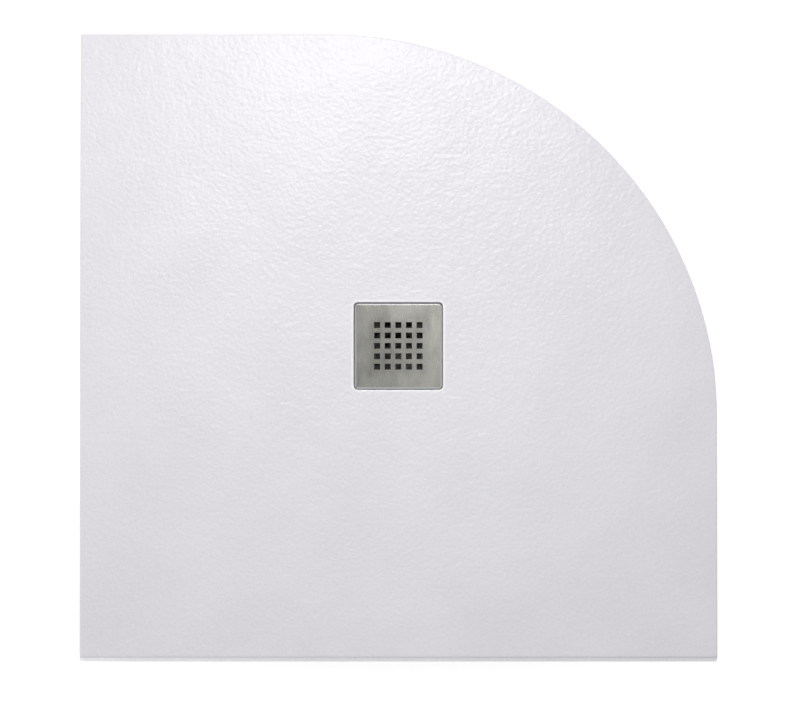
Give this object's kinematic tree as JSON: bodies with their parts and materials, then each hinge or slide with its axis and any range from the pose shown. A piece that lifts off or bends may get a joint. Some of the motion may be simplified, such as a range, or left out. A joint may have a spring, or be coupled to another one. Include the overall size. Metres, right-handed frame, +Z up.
{
  "type": "shower tray",
  "caption": "Square cast shower tray with one large rounded corner, slate-relief surface, central square grate and a siphon waste trap below.",
  "frame": {"origin": "on the drain's axis, in the plane of the tray's underside", "axes": "+Z up out of the standing surface, +X and +Y along the straight edges, towards the rounded corner; the waste outlet points along -X"},
  "size_m": [0.9, 0.9, 0.1285],
  "materials": {
    "gel_coat_stone": "glossy white gel coat over cast mineral resin, slate relief",
    "brushed_stainless": "brushed stainless sheet",
    "black_plastic": "moulded glass-filled plastic, black, satin",
    "dark_rubber": "matt",
    "seal_rubber": "matt",
    "white_plastic": "moulded polypropylene, satin",
    "grey_plastic": "moulded polypropylene, satin"
  },
  "bodies": {
    "tray": {"tray_slab": "gel_coat_stone", "flange_gasket": "seal_rubber", "body_gasket": "seal_rubber", "drain_flange": "black_plastic", "trap_body": "white_plastic", "outlet_washer": "seal_rubber", "outlet_slip_ring": "grey_plastic", "outlet_nut": "white_plastic"},
    "dip_cup": {"dip_tube": "grey_plastic", "cup_o_ring": "dark_rubber"},
    "cover": {"grate": "brushed_stainless", "grate_pads": "dark_rubber"}
  },
  "joints": [
    {"name": "cup_lift", "type": "slide", "parent": "tray", "child": "dip_cup", "axis": [0, 0, 1], "range_m": [0, 0.13]},
    {"name": "grate_lift", "type": "slide", "parent": "dip_cup", "child": "cover", "axis": [0, 0, 1], "range_m": [0, 0.06]}
  ]
}
